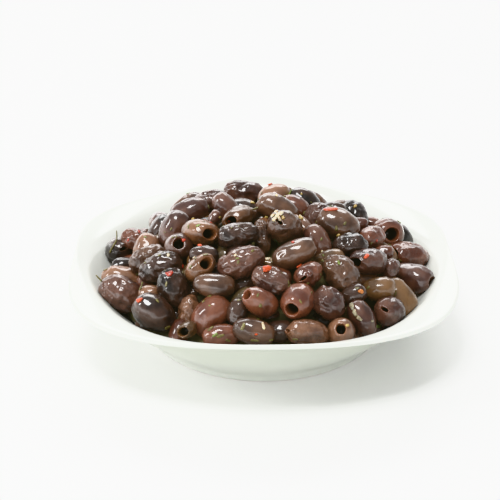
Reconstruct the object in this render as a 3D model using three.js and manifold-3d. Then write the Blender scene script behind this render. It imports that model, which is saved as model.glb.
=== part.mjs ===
// Dish of olives: a square-shouldered porcelain dish with a round well,
// heaped with pitted olives, chilli, garlic, herb stems and a leaf.
// Millimetres, +Z up, origin at the middle of the ring that the dish stands on.

import * as THREE from 'three';
import { mergeVertices } from 'three/addons/utils/BufferGeometryUtils.js';
import Module from 'manifold-3d';

const wasm = await Module();
wasm.setup();

// Dish
const rimReach = 120;
const rimHeight = 46.5;
const wellReach = 112.5;
const wallFoot = 85;
const footReach = 77;
const footHeight = 6.2;
const floorHeight = 9.6;
const floorThickness = 5.4;
const dishSides = 56;
const roomSides = dishSides / 2;
// how far the rim swings out towards its corners: waves round the dish, share of rimReach
const rimBow = [[2, 0.022], [4, -0.0355], [6, -0.023]];
// the middle of each side stands higher than the corners
const wellWave = 1.8;
const rimWave = 1.5;
const rimRipple = 0.45;

// Heap: its surface carries the middles of the top olives
const heapShift = 2;
const heapReach = 107;
const heapEdge = rimHeight - 13.5;
const heapRise = 43;
const heapCurve = 2.2;
const coreSink = 4.5;
const dishGap = 0.35;

// The heap is laid out as seen by a guest at the table
const seatRise = THREE.MathUtils.degToRad(26.75);
const seatTurn = THREE.MathUtils.degToRad(-1.4);
const seatDistance = 850;
const olivePress = 1.2;
const backStep = 0.5;
const backSteps = 60;

// Fill that the guest hardly sees, between the rows and behind the crest
const fillSeed = 11;
const fillTries = 9000;
const fillSink = [2.5, 8.5];
const fillReach = 103;
const fillSeenPoints = 2;

const porcelain = new THREE.MeshStandardMaterial({ color: 0xf4f4f1, roughness: 0.12 });
const oliveSkin = new THREE.MeshStandardMaterial({ color: 0x4a2c26, roughness: 0.25 });

// Olives in view: across and up on a plane that faces the guest, length, width,
// turn of the pit-hole end, how far that end faces the guest, shape, and how much broader
// than deep it is where it lies slumped. Front rows first.
const olivesInView = [
  [-5.5, -48.5, 26, 17, -12, 0, 'plump'],
  [-26, -51.5, 24, 15, 8, 0, 'plump'],
  [29, -48.5, 28, 17, 176, 25, 'pitted'],
  [50.5, -48, 21, 17.5, 95, 80, 'pitted'],
  [64, -39.5, 24, 15, -62, 0, 'plump'],
  [81, -35, 22, 19, 150, 75, 'plump'],
  [94.5, -28, 27, 18.5, -60, 0, 'plump'],
  [98.5, -13.5, 29, 18, -12, 25, 'pitted'],
  [95.5, 1, 30, 17.5, 173, 40, 'pitted', 1.25],
  [-48.5, -47.5, 17, 12, 205, 60, 'pitted', 1.15],
  [-33, -38.5, 28, 21, 50, 0, 'plump'],
  [-69.5, -36.5, 28, 21, -32, 0, 'plump'],
  [-91, -24.5, 28, 21, -25, 8, 'pitted'],
  [-54.5, -41, 18, 14, -60, 0, 'plump'],
  [-47, -35, 20, 13.5, 82, 0, 'plump'],
  [-57.5, -20.5, 24, 20, -72, 0, 'plump'],
  [11, -48, 18, 14, 10, 0, 'plump'],
  [-1.5, -29.5, 25, 16.5, 150, 35, 'pitted'],
  [2, -38, 24, 15, -25, 0, 'plump'],
  [-16, -36, 18, 13, 80, 0, 'plump'],
  [22.5, -28.5, 26, 20.5, 235, 56, 'pitted'],
  [42.5, -30, 22, 19.5, -45, 0, 'plump'],
  [58, -24.5, 17, 12.5, 25, 0, 'plump'],
  [74.5, -20.5, 20, 15.5, 5, 0, 'plump'],
  [40, -41, 18, 13, 0, 0, 'plump'],
  [-31.5, -19, 25.5, 15.5, -6, 0, 'plump'],
  [-45, -25, 14, 9, 80, 0, 'plump'],
  [5.5, -15.5, 25, 17, -22, 0, 'plump'],
  [29.5, -11.5, 20, 15.5, 215, 65, 'pitted', 1.15],
  [50, -11, 26, 20.5, -52, 0, 'plump'],
  [42, -3.5, 22, 16, 20, 0, 'plump'],
  [67.5, -3, 27, 16.5, 183, 50, 'pitted', 1.2],
  [82, -9, 16, 10, 80, 0, 'plump'],
  [77, 2.5, 13, 10, 10, 0, 'plump'],
  [-73, -24.5, 13, 11, 0, 0, 'plump'],
  [-89.5, -15, 27, 16, -6, 0, 'plump'],
  [-66, -7.5, 28, 17.5, 22, 12, 'pitted'],
  [-40.5, -8, 22, 15.5, 42, 60, 'pitted', 1.3],
  [-14, -4, 30, 18.5, 22, 0, 'plump'],
  [20.5, 2, 29, 17.5, 25, 5, 'pitted'],
  [4, -5, 14, 9, 0, 0, 'plump'],
  [-11, -18, 20, 14, 20, 0, 'plump'],
  [-88, -7.5, 18, 13, 0, 0, 'plump'],
  [-74, -1.5, 24, 14, 25, 0, 'plump'],
  [-92.5, 3.2, 21, 17, 25, 75, 'pitted'],
  [-54, 5, 21, 18, 95, 72, 'pitted'],
  [-38, 1, 18, 12, 0, 0, 'plump'],
  [-75, 4, 20, 16, 75, 0, 'plump'],
  [-80.5, 9.5, 21, 14, -25, 0, 'plump'],
  [-40, 15, 25, 17, -8, 64, 'pitted', 1.3],
  [-16, 13.5, 25, 15, 12, 0, 'plump'],
  [-0.8, 12, 22, 11, 97, 0, 'plump'],
  [13.8, 18.5, 24, 22, 130, 60, 'pitted'],
  [35.5, 9, 24, 16, -60, 0, 'plump'],
  [56, 7, 22, 16, 0, 0, 'plump'],
  [69, 12, 20, 15, 200, 60, 'pitted', 1.1],
  [79.3, 15.3, 22, 18.5, -10, 70, 'pitted', 1.08],
  [84, 14, 24, 18.5, -40, 0, 'plump'],
  [-57.5, 16.5, 25, 17.5, 62, 0, 'plump'],
  [-66, 16, 22, 15, 60, 0, 'plump'],
  [-16, 25, 24, 14, 205, 62, 'pitted', 1.35],
  [9, 30.5, 26, 17, -22, 0, 'plump'],
  [48, 20.5, 27, 21, -22, 0, 'plump'],
  [34.5, 25, 20, 17, 60, 0, 'plump'],
  [61, 21, 12, 9, 0, 0, 'plump'],
  [-24, 31, 20, 14, -50, 0, 'plump'],
  [-31.5, 24, 11, 8, 60, 0, 'plump'],
  [-47, 28, 24, 16.5, 22, 0, 'plump'],
  [-48.5, 32, 22, 14, 30, 0, 'plump'],
  [-33, 34.5, 20, 16, 15, 0, 'plump'],
  [20.5, 31.5, 19, 14, -30, 0, 'plump'],
  [26, 35.5, 20, 16, -25, 0, 'plump'],
  [7, 38.5, 20, 15.5, 20, 0, 'plump'],
  [-12.5, 40.5, 25, 16, -5, 0, 'plump'],
  [59, 27, 20, 15, -60, 30, 'pitted'],
  [45, 30, 16, 10, 0, 0, 'plump'],
  [52, 31, 20, 11, 0, 0, 'plump'],
  [34, 34, 18, 12, -40, 0, 'plump'],
  [15, 37.5, 14, 9, 80, 0, 'plump'],
  [70, 21, 14, 9, -20, 0, 'plump'],
];

// Chilli, garlic and leaf pieces on the olives: across, up, length, width, turn
const scraps = [
  [-60, -11.5, 4.6, 4.2, 20],
  [-79.5, -28, 4, 3, 0],
  [-51, 10, 3.5, 2.6, 10],
  [2.5, -7.5, 6.5, 3.4, 40],
  [43, 31, 9, 3.2, -14],
  [63, -22, 3.2, 3, 80],
  [10.5, 27.5, 4, 3.6, -30],
  [7.3, 24.5, 5.2, 3, -65],
  [-7, 34, 3.2, 2.6, 0],
  [23, 24.8, 4, 2.6, -60],
  [0, -45, 5, 2.6, 88],
  [13.5, -37.5, 6, 2.8, -50],
  [60.5, -36, 9.5, 3, -62],
  [17.5, 41, 5.5, 4, 60],
];
const scrapThickness = 2.6;

// one closed body of triangles from a geometry whose corners are shared by place
function closedSolid(geometry) {
  const bare = geometry.clone();
  bare.deleteAttribute('normal');
  bare.deleteAttribute('uv');
  const merged = mergeVertices(bare, 1e-4);
  const index = merged.index.array;
  const kept = [];
  for (let i = 0; i < index.length; i += 3) {
    const [a, b, c] = [index[i], index[i + 1], index[i + 2]];
    if (a !== b && b !== c && c !== a) kept.push(a, b, c);
  }
  return new wasm.Manifold(new wasm.Mesh({
    numProp: 3,
    vertProperties: new Float32Array(merged.attributes.position.array),
    triVerts: new Uint32Array(kept),
  }));
}

function geometryOf(solid) {
  const mesh = solid.getMesh();
  const geometry = new THREE.BufferGeometry();
  geometry.setAttribute('position', new THREE.BufferAttribute(mesh.vertProperties, mesh.numProp));
  geometry.setIndex(new THREE.BufferAttribute(mesh.triVerts, 1));
  return geometry;
}

// half sections, [reach, height], from the axis outwards
const wellProfile = [
  [0, floorHeight], [38, floorHeight], [64, 10.2], [75, 12.4], [85, 17.6], [94.5, 25],
  [102, 33], [107.5, 40.2], [110.8, 44.4], [113, 46.2],
];
const lipProfile = [[118.2, 47.7], [rimReach, rimHeight], [118.8, 44.2]];
const underProfile = [
  [113.5, 42.4], [107.4, 33.5], [100.5, 25], [91, 16], [82.5, 9.4], [footReach + 0.6, footHeight],
  [footReach, 0], [footReach - 4.6, 0], [footReach - 6, floorHeight - floorThickness],
  [0, floorHeight - floorThickness],
];

function lathe(profile, sides) {
  const points = profile.map(([reach, height]) => new THREE.Vector2(reach, height));
  return new THREE.LatheGeometry(points, sides).rotateX(Math.PI / 2);
}

function rimStretch(angle) {
  const along = (turn) => rimBow.reduce((sum, [waves, share]) => sum + share * Math.cos(waves * turn), 1);
  return along(angle) / along(0);
}

// moves a turned shape's flange out to the bowed square rim, and lifts its sides
function squareOff(geometry) {
  const place = geometry.attributes.position;
  for (let i = 0; i < place.count; i += 1) {
    const [x, y, z] = [place.getX(i), place.getY(i), place.getZ(i)];
    const reach = Math.hypot(x, y);
    const angle = Math.atan2(y, x);
    const flange = THREE.MathUtils.clamp((reach - wellReach) / (rimReach - wellReach), 0, 1);
    const wall = THREE.MathUtils.clamp((reach - wallFoot) / (wellReach - wallFoot), 0, 1) ** 2;
    const out = reach + flange * rimReach * (rimStretch(angle) - 1);
    const lift = wall * wellWave * Math.cos(4 * angle)
      + flange * (rimWave * Math.cos(4 * angle) + rimRipple * Math.cos(8 * angle));
    const grow = reach > 0 ? out / reach : 1;
    place.setXYZ(i, x * grow, y * grow, z + lift);
  }
  return geometry;
}

function makeDish() {
  const profile = [...wellProfile, ...lipProfile, ...underProfile].reverse();
  return closedSolid(squareOff(lathe(profile, dishSides)));
}

// the room inside the dish, a gap clear of its wall and open upwards
function makeRoom() {
  const inside = wellProfile.map(([reach, height]) => [Math.max(0, reach - dishGap), height + dishGap]);
  const top = rimHeight * 3;
  const profile = [...inside, [inside.at(-1)[0], top], [0, top]];
  return closedSolid(squareOff(lathe(profile, roomSides)));
}

function heapHeight(x, y, sink = 0) {
  const share = Math.hypot(x - heapShift, y) / heapReach;
  return heapEdge - sink + heapRise * (1 - share ** heapCurve);
}

function makeCore() {
  const rings = 9;
  const profile = [[0, 0], [heapReach, 0]];
  for (let i = rings; i >= 0; i -= 1) {
    const reach = heapReach * i / rings;
    profile.push([reach, heapHeight(reach + heapShift, 0, coreSink)]);
  }
  return closedSolid(lathe(profile, 24).translate(heapShift, 0, 0));
}

// reach of the well's wall at a height
function wallReach(height) {
  if (height <= wellProfile[2][1]) return wellProfile[2][0];
  for (let i = 3; i < wellProfile.length; i += 1) {
    const [lowReach, low] = wellProfile[i - 1];
    const [highReach, high] = wellProfile[i];
    if (height <= high) return lowReach + (highReach - lowReach) * (height - low) / (high - low);
  }
  return wellReach;
}

const towardSeat = new THREE.Vector3(
  Math.sin(seatTurn) * Math.cos(seatRise),
  -Math.cos(seatTurn) * Math.cos(seatRise),
  Math.sin(seatRise),
);
const acrossSeat = new THREE.Vector3(Math.cos(seatTurn), Math.sin(seatTurn), 0);
const upSeat = towardSeat.clone().cross(acrossSeat);
const dishMiddle = new THREE.Vector3(0, 0, rimHeight);
const guestEye = dishMiddle.clone().addScaledVector(towardSeat, seatDistance);

function sightLine(across, up) {
  const onPlane = dishMiddle.clone().addScaledVector(acrossSeat, across).addScaledVector(upSeat, up);
  return { onPlane, away: onPlane.clone().sub(guestEye).normalize() };
}

// where the guest's line of sight meets the heap, or comes nearest to it
function spotOnHeap(across, up) {
  const { onPlane, away } = sightLine(across, up);
  let best = null;
  let bestGap = Infinity;
  for (let t = -140; t < 140; t += backStep) {
    const spot = onPlane.clone().addScaledVector(away, t);
    const gap = spot.z - heapHeight(spot.x, spot.y);
    if (gap < bestGap) {
      best = spot;
      bestGap = gap;
    }
    if (gap < 0) break;
  }
  return { spot: best, away };
}

function oliveInView([across, up, seenLength, seenWidth, turn, face, shape, broad = 1]) {
  const { spot, away } = spotOnHeap(across, up);
  const scale = spot.distanceTo(guestEye) / seatDistance;
  const toward = away.clone().negate();
  const right = acrossSeat.clone().addScaledVector(toward, -acrossSeat.dot(toward)).normalize();
  const above = toward.clone().cross(right);
  const [turnAngle, faceAngle] = [turn, face].map(THREE.MathUtils.degToRad);
  const along = right.multiplyScalar(Math.cos(turnAngle)).addScaledVector(above, Math.sin(turnAngle));
  const axis = along.clone().multiplyScalar(Math.cos(faceAngle)).addScaledVector(toward, Math.sin(faceAngle));
  const side = along.multiplyScalar(Math.sin(faceAngle)).addScaledVector(toward, -Math.cos(faceAngle));
  const [length, width] = [seenLength * scale, seenWidth * scale];
  return { middle: spot, axis, side, broad, away, shape, length, width };
}

// an olive takes the room of a rod with round ends
function rodEnds(olive) {
  const half = Math.max(0.1, (olive.length - olive.width) / 2 * 0.85);
  return [-half, half].map((t) => olive.middle.clone().addScaledVector(olive.axis, t));
}

function keepInWell(olive) {
  for (let round = 0; round < 3; round += 1) {
    let worst = 0;
    let worstPoint = null;
    for (const point of [...rodEnds(olive), olive.middle]) {
      const over = Math.hypot(point.x, point.y) + olive.width / 2 * 0.93 - wallReach(point.z);
      if (over > worst) {
        worst = over;
        worstPoint = point.clone();
      }
    }
    if (!worstPoint) return;
    const reach = Math.hypot(worstPoint.x, worstPoint.y);
    olive.middle.x -= worstPoint.x / reach * worst;
    olive.middle.y -= worstPoint.y / reach * worst;
  }
}

function rodDistance([a, b], [c, d]) {
  const clamp = (value) => THREE.MathUtils.clamp(value, 0, 1);
  const one = b.clone().sub(a);
  const two = d.clone().sub(c);
  const gap = a.clone().sub(c);
  const oneOne = one.dot(one);
  const twoTwo = two.dot(two);
  const oneTwo = one.dot(two);
  const spread = oneOne * twoTwo - oneTwo * oneTwo;
  let s = spread > 1e-9 ? clamp((oneTwo * two.dot(gap) - one.dot(gap) * twoTwo) / spread) : 0.5;
  const t = clamp((oneTwo * s + two.dot(gap)) / twoTwo);
  s = clamp((oneTwo * t - one.dot(gap)) / oneOne);
  return a.clone().addScaledVector(one, s).distanceTo(c.clone().addScaledVector(two, t));
}

function isClear(olive, others, press) {
  const ends = rodEnds(olive);
  return others.every((other) => {
    const room = (olive.width + other.width) / 2 - press;
    if (olive.middle.distanceTo(other.middle) > room + (olive.length + other.length) / 2) return true;
    return rodDistance(ends, rodEnds(other)) >= room;
  });
}

// each olive slides back along the line of sight until it is clear of those before it
function layInView() {
  const laid = [];
  for (const row of olivesInView) {
    const olive = oliveInView(row);
    keepInWell(olive);
    for (let step = 0; step < backSteps && !isClear(olive, laid, olivePress); step += 1) {
      olive.middle.addScaledVector(olive.away, backStep);
      keepInWell(olive);
    }
    laid.push(olive);
  }
  return laid;
}

let drawState = fillSeed;
function drawBetween(low, high) {
  drawState = (drawState * 16807) % 2147483647;
  return low + (high - low) * drawState / 2147483647;
}

// how far along a line from the guest's eye an olive's skin is met
function skinDistance({ middle, axis, length, width }, away) {
  const squash = (vector) => vector.addScaledVector(axis, vector.dot(axis) * (width / length - 1));
  const from = squash(guestEye.clone().sub(middle));
  const way = squash(away.clone());
  const a = way.dot(way);
  const b = from.dot(way);
  const inside = b * b - a * (from.dot(from) - (width / 2) ** 2);
  return inside > 0 ? (-b - Math.sqrt(inside)) / a : Infinity;
}

function isHidden(point, olives) {
  const away = point.clone().sub(guestEye);
  const distance = away.length();
  away.divideScalar(distance);
  if (olives.some((olive) => skinDistance(olive, away) < distance)) return true;
  for (let t = 4; t < 160; t += 4) {
    const spot = point.clone().addScaledVector(away, -t);
    if (spot.z < heapHeight(spot.x, spot.y, coreSink)) return true;
  }
  return false;
}

// points of an olive's middle and edge that the guest can see
function seenPoints(olive, olives) {
  const away = olive.middle.clone().sub(guestEye).normalize();
  const side = olive.axis.clone().cross(away).normalize().multiplyScalar(olive.width * 0.42);
  const end = olive.axis.clone().multiplyScalar(olive.length * 0.42);
  let seen = 0;
  for (const [along, across] of [[0, 0], [1, 0], [-1, 0], [0, 1], [0, -1], [0.7, 0.7], [-0.7, 0.7], [0.7, -0.7], [-0.7, -0.7]]) {
    const point = olive.middle.clone().addScaledVector(end, along).addScaledVector(side, across);
    if (!isHidden(point, olives)) seen += 1;
  }
  return seen;
}

// olives dropped wherever one fits and is mostly out of the guest's sight
function fillUnseen(laid) {
  const all = [...laid];
  for (let attempt = 0; attempt < fillTries; attempt += 1) {
    const reach = Math.sqrt(drawBetween(0, fillReach ** 2));
    const angle = drawBetween(0, 2 * Math.PI);
    const length = drawBetween(18, 26) - (attempt > fillTries / 2 ? 4 : 0);
    const width = length * drawBetween(0.62, 0.78);
    const turn = drawBetween(0, 2 * Math.PI);
    const lean = drawBetween(-0.35, 0.35);
    const sink = drawBetween(...fillSink);
    const x = heapShift + reach * Math.cos(angle);
    const y = reach * Math.sin(angle);
    const slopeX = heapHeight(x + 0.5, y) - heapHeight(x - 0.5, y);
    const slopeY = heapHeight(x, y + 0.5) - heapHeight(x, y - 0.5);
    const climb = slopeX * Math.cos(turn) + slopeY * Math.sin(turn) + lean;
    const axis = new THREE.Vector3(Math.cos(turn), Math.sin(turn), climb).normalize();
    const olive = {
      middle: new THREE.Vector3(x, y, heapHeight(x, y, sink)),
      axis,
      side: new THREE.Vector3(0, 0, 1).cross(axis).normalize(),
      broad: 1,
      length,
      width,
      shape: 'plump',
    };
    keepInWell(olive);
    if (isClear(olive, all, olivePress) && seenPoints(olive, laid) <= fillSeenPoints) all.push(olive);
  }
  return all;
}

// an olive of half length 1 and half width 1 along +Z, with a pit hole in its upper end
const plumpProfile = [[0, -1], [0.76, -0.72], [1.01, 0], [0.76, 0.72], [0, 1]];
const pittedProfile = [[0, -1], [0.76, -0.72], [1.01, 0], [0.76, 0.72], [0.4, 0.92], [0, 0.3]];
const oliveSides = 8;

function oliveSolid(olive) {
  const profile = olive.shape === 'pitted' ? pittedProfile : plumpProfile;
  const geometry = lathe(profile, oliveSides);
  geometry.scale(olive.width / 2 * olive.broad, olive.width / 2, olive.length / 2);
  const turned = new THREE.Matrix4().makeBasis(olive.side, olive.axis.clone().cross(olive.side), olive.axis);
  geometry.applyMatrix4(turned);
  geometry.translate(olive.middle.x, olive.middle.y, olive.middle.z);
  return closedSolid(geometry);
}

// the first olive skin that a line of sight meets
function spotOnOlives(across, up, olives) {
  const { onPlane, away } = sightLine(across, up);
  const distance = Math.min(...olives.map((olive) => skinDistance(olive, away)));
  return Number.isFinite(distance) ? guestEye.clone().addScaledVector(away, distance) : onPlane;
}

function scrapSolid([across, up, length, width, turn], olives) {
  const spot = spotOnOlives(across, up, olives);
  const geometry = new THREE.IcosahedronGeometry(0.5, 0);
  geometry.scale(length * 1.15, width * 1.15, scrapThickness);
  geometry.rotateZ(THREE.MathUtils.degToRad(turn));
  const facing = new THREE.Matrix4().makeBasis(acrossSeat, upSeat, towardSeat);
  geometry.applyMatrix4(facing);
  geometry.translate(spot.x, spot.y, spot.z);
  return closedSolid(geometry);
}

// keeps the outer skin of the largest body, so nothing hollow stays sealed inside
function outerBody(solid) {
  const bodies = solid.decompose();
  bodies.sort((one, two) => two.volume() - one.volume());
  return bodies[0];
}

function makeHeap() {
  const olives = fillUnseen(layInView());
  const solids = [...olives.map(oliveSolid), ...scraps.map((scrap) => scrapSolid(scrap, olives))];
  const heap = solids.reduce((sum, solid) => sum.add(solid), makeCore());
  return outerBody(heap.intersect(makeRoom()));
}

function namedMesh(name, solid, material) {
  const mesh = new THREE.Mesh(geometryOf(solid), material);
  mesh.name = name;
  return mesh;
}

const dishOfOlives = new THREE.Group();
dishOfOlives.add(namedMesh('dish', makeDish(), porcelain));
dishOfOlives.add(namedMesh('olive_heap', makeHeap(), oliveSkin));

export default dishOfOlives;
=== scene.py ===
import math
import random
from types import SimpleNamespace

import bmesh
import bpy
from mathutils import Matrix, Vector, noise
from mathutils.bvhtree import BVHTree


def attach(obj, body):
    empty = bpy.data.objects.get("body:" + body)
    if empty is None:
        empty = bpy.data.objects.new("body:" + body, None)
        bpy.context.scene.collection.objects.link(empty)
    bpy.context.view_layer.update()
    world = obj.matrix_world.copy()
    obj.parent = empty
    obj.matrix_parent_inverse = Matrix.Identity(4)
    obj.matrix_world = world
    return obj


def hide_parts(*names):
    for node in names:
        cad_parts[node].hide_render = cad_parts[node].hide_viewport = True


# Lengths are worked out in millimetres and made metres as each piece is finished
mm = 0.001
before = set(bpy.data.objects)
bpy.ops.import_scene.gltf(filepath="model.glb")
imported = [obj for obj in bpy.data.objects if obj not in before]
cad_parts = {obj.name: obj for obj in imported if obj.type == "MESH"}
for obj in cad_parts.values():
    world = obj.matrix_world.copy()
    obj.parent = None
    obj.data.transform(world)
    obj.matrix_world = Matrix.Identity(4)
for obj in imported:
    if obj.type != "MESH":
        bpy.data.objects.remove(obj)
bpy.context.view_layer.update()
print("frame loaded", sorted(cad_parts))

# Where the guest sits, measured from the middle of the dish's rim
seat = {
    "rise": 26.75,
    "turn": -1.4,
    "distance": 850,
    "roll": 0.36,
    "lens": 95.3,
    "shift": (-0.0261, 0.0130),
}

dish = {
    "rimReach": 120,
    "rimHeight": 46.5,
    "wellReach": 112.5,
    "wallFoot": 85,
    "bow": [(2, 0.022), (4, -0.0355), (6, -0.023)],  # waves round the rim, share of its reach
    "wellWave": 1.8,  # the middle of each side stands higher than the corners
    "rimWave": 1.5,
    "rimRipple": 0.45,
    "skinGap": 0.35,  # olives to glaze
    "floorReach": 50,  # olives lie well above the floor inside this
    "sides": 180,
    "glaze": ((0.69, 0.71, 0.665, 1), (0.72, 0.74, 0.695, 1)),
    "glazeBelowShaded": (0.38, 0.405, 0.345, 1),  # darker and greener on the outside: painted shade on the underside
    "belowShadeShare": 0.95,
    "bareFoot": ((0.58, 0.56, 0.52, 1), (0.72, 0.70, 0.66, 1)),
    # half sections, (reach, height), from the axis outwards
    "well": [
        (0, 9.6), (20, 9.6), (40, 9.62), (54, 9.8), (64, 10.25), (70, 11.1), (75, 12.45), (80, 14.8),
        (85, 17.7), (90, 21.2), (94.6, 25), (98.4, 28.9), (102.1, 33), (104.8, 36.3), (107.2, 39.2),
        (109.2, 41.5), (111.2, 43.5), (113.1, 45.1), (115.1, 46.3),
    ],
    "lip": [(116.9, 47.05), (118.5, 47.65), (119.7, 47.6), (120.3, 46.7), (120.0, 45.5), (118.7, 44.4)],
    "under": [
        (116.4, 43.5), (113.6, 42.1), (110.6, 38.6), (107.4, 33.6), (104, 29.2), (100.5, 25.1), (96, 20.6),
        (91, 16.1), (85.5, 11.6), (82.2, 8.9), (79.8, 6.8), (78.4, 5.1), (77.7, 3.6), (77.4, 2.2),
        (77.1, 1.1), (76.6, 0.3), (75.9, 0), (74.7, 0), (73.5, 0), (72.8, 0.3), (72.4, 1.1), (72.1, 2.4),
        (71.3, 3.7), (69.3, 4.2), (60, 4.25), (30, 4.3), (0, 4.3),
    ],
}

heap = {
    "shift": 2,
    "reach": 107,
    "edge": 33,
    "rise": 43,
    "curve": 2.2,
    "coreSink": 4.5,
    "press": 1.2,
    "seenReach": 140,  # how far either side of the dish's middle a laid olive is looked for
    "backStep": 0.5,  # along a sight line
    "backSteps": 60,
    "wallPress": 0.93,  # share of its half width that an olive keeps from the wall
    "rodShare": 0.85,  # straight part of an olive, of what its length is over its width
    "seed": 11,
    "tries": 9000,
    "fillSink": (2.5, 8.5),
    "fillReach": 103,
    "fillLength": (18, 26),
    "fillSlim": (0.62, 0.78),
    "fillSmaller": 4,  # by this after half of the tries
    "fillLean": 0.35,
    "seenPoints": 2,
    "seenEdge": 0.42,  # how far out those points lie, share of length and width
    "swell": 1.07,  # ripe skins press against each other
    "kindSeed": 4,
}

# Olives in view: across and up on a plane that faces the guest, length, width, turn of the pit-hole end,
# how far that end faces the guest, form, skin, and how much broader than deep it lies. Front rows first.
olivesInView = [
    (-5.5, -48.5, 26, 17, -12, 0, "plump", "brown"),
    (-26, -51.5, 24, 15, 8, 0, "plump", "russet"),
    (29, -48.5, 28, 17, 176, 25, "slit", "chestnut"),
    (50.5, -48, 21, 17.5, 95, 80, "pitted", "chestnut"),
    (64, -39.5, 24, 15, -62, 0, "plump", "plum"),
    (81, -35, 22, 19, 150, 75, "slit", "plum"),
    (94.5, -28, 27, 18.5, -60, 0, "plump", "tan"),
    (98.5, -13.5, 29, 18, -12, 25, "pitted", "plum"),
    (95.5, 1, 30, 17.5, 173, 40, "torn", "russet", 1.25),
    (-48.5, -47.5, 17, 12, 205, 52, "curl", "tan", 1.2),
    (-33, -38.5, 28, 21, 50, 0, "plump", "russet"),
    (-69.5, -36.5, 28, 21, -32, 0, "plump", "black"),
    (-91, -24.5, 28, 21, -25, 8, "wrinkled", "plum"),
    (-54.5, -41, 18, 14, -60, 0, "plump", "black"),
    (-47, -35, 20, 13.5, 82, 0, "wrinkled", "chestnut"),
    (-57.5, -20.5, 24, 20, -72, 0, "wrinkled", "black"),
    (11, -48, 18, 14, 10, 0, "plump", "black"),
    (-1.5, -29.5, 25, 16.5, 150, 35, "pitted", "russet"),
    (2, -38, 24, 15, -25, 0, "plump", "russet"),
    (-16, -36, 18, 13, 80, 0, "plump", "black"),
    (22.5, -28.5, 26, 20.5, 235, 56, "pitted", "russet"),
    (42.5, -30, 22, 19.5, -45, 0, "wrinkled", "plum"),
    (58, -24.5, 17, 12.5, 25, 0, "plump", "black"),
    (74.5, -20.5, 20, 15.5, 5, 0, "plump", "tan"),
    (40, -41, 18, 13, 0, 0, "plump", "black"),
    (-31.5, -19, 25.5, 15.5, -6, 0, "plump", "brown"),
    (-45, -25, 14, 9, 80, 0, "wrinkled", "brown"),
    (5.5, -15.5, 25, 17, -22, 0, "wrinkled", "plum"),
    (29.5, -11.5, 20, 15.5, 215, 65, "slit", "russet", 1.15),
    (50, -11, 26, 20.5, -52, 0, "wrinkled", "brown"),
    (42, -3.5, 22, 16, 20, 0, "plump", "tan"),
    (67.5, -3, 27, 16.5, 183, 50, "torn", "plum", 1.2),
    (82, -9, 16, 10, 80, 0, "wrinkled", "plum"),
    (77, 2.5, 13, 10, 10, 0, "plump", "russet"),
    (-73, -24.5, 13, 11, 0, 0, "plump", "chestnut"),
    (-89.5, -15, 27, 16, -6, 0, "plump", "chestnut"),
    (-66, -7.5, 28, 17.5, 22, 12, "wrinkled", "black"),
    (-40.5, -8, 22, 15.5, 42, 60, "pitted", "amber", 1.3),
    (-14, -4, 30, 18.5, 22, 0, "wrinkled", "plum"),
    (20.5, 2, 29, 17.5, 25, 5, "pitted", "brown"),
    (4, -5, 14, 9, 0, 0, "plump", "tan"),
    (-11, -18, 20, 14, 20, 0, "plump", "black"),
    (-88, -7.5, 18, 13, 0, 0, "plump", "black"),
    (-74, -1.5, 24, 14, 25, 0, "wrinkled", "brown"),
    (-92.5, 3.2, 21, 17, 25, 75, "slit", "black"),
    (-54, 5, 21, 18, 95, 72, "pitted", "plum"),
    (-38, 1, 18, 12, 0, 0, "plump", "black"),
    (-75, 4, 20, 16, 75, 0, "plump", "chestnut"),
    (-80.5, 9.5, 21, 14, -25, 0, "wrinkled", "russet"),
    (-40, 15, 25, 17, -8, 64, "pitted", "amber", 1.3),
    (-16, 13.5, 25, 15, 12, 0, "wrinkled", "black"),
    (-0.8, 12, 22, 11, 97, 0, "wrinkled", "brown"),
    (13.8, 18.5, 24, 22, 130, 60, "slit", "brown"),
    (35.5, 9, 24, 16, -60, 0, "plump", "plum"),
    (56, 7, 22, 16, 0, 0, "wrinkled", "black"),
    (69, 12, 20, 15, 200, 60, "slit", "russet", 1.1),
    (79.3, 15.3, 22, 18.5, -10, 70, "pitted", "russet", 1.08),
    (84, 14, 24, 18.5, -40, 0, "plump", "black"),
    (-57.5, 16.5, 25, 17.5, 62, 0, "plump", "plum"),
    (-66, 16, 22, 15, 60, 0, "plump", "black"),
    (-16, 25, 24, 14, 205, 62, "pitted", "amber", 1.35),
    (9, 30.5, 26, 17, -22, 0, "plump", "brown"),
    (48, 20.5, 27, 21, -22, 0, "plump", "brown"),
    (34.5, 25, 20, 17, 60, 0, "wrinkled", "plum"),
    (61, 21, 12, 9, 0, 0, "plump", "russet"),
    (-24, 31, 20, 14, -50, 0, "plump", "plum"),
    (-31.5, 24, 11, 8, 60, 0, "plump", "plum"),
    (-47, 28, 24, 16.5, 22, 0, "plump", "plum"),
    (-48.5, 32, 22, 14, 30, 0, "plump", "brown"),
    (-33, 34.5, 20, 16, 15, 0, "wrinkled", "plum"),
    (20.5, 31.5, 19, 14, -30, 0, "plump", "russet"),
    (26, 35.5, 20, 16, -25, 0, "plump", "black"),
    (7, 38.5, 20, 15.5, 20, 0, "plump", "chestnut"),
    (-12.5, 40.5, 25, 16, -5, 0, "wrinkled", "plum"),
    (59, 27, 20, 15, -60, 30, "slit", "black"),
    (45, 30, 16, 10, 0, 0, "plump", "black"),
    (52, 31, 20, 11, 0, 0, "plump", "brown"),
    (34, 34, 18, 12, -40, 0, "plump", "brown"),
    (15, 37.5, 14, 9, 80, 0, "plump", "chestnut"),
    (70, 21, 14, 9, -20, 0, "plump", "russet"),
]


def clamp(value):
    return min(1.0, max(0.0, value))


def heapHeight(x, y, sink=0):
    share = math.hypot(x - heap["shift"], y) / heap["reach"]
    return heap["edge"] - sink + heap["rise"] * (1 - share ** heap["curve"])


# inside of the dish where olives touch it, (reach, height)
wallLine = [
    (64, 10.2), (75, 12.4), (85, 17.6), (94.5, 25), (102, 33), (107.5, 40.2), (110.8, 44.4), (113, 46.2),
]


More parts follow.
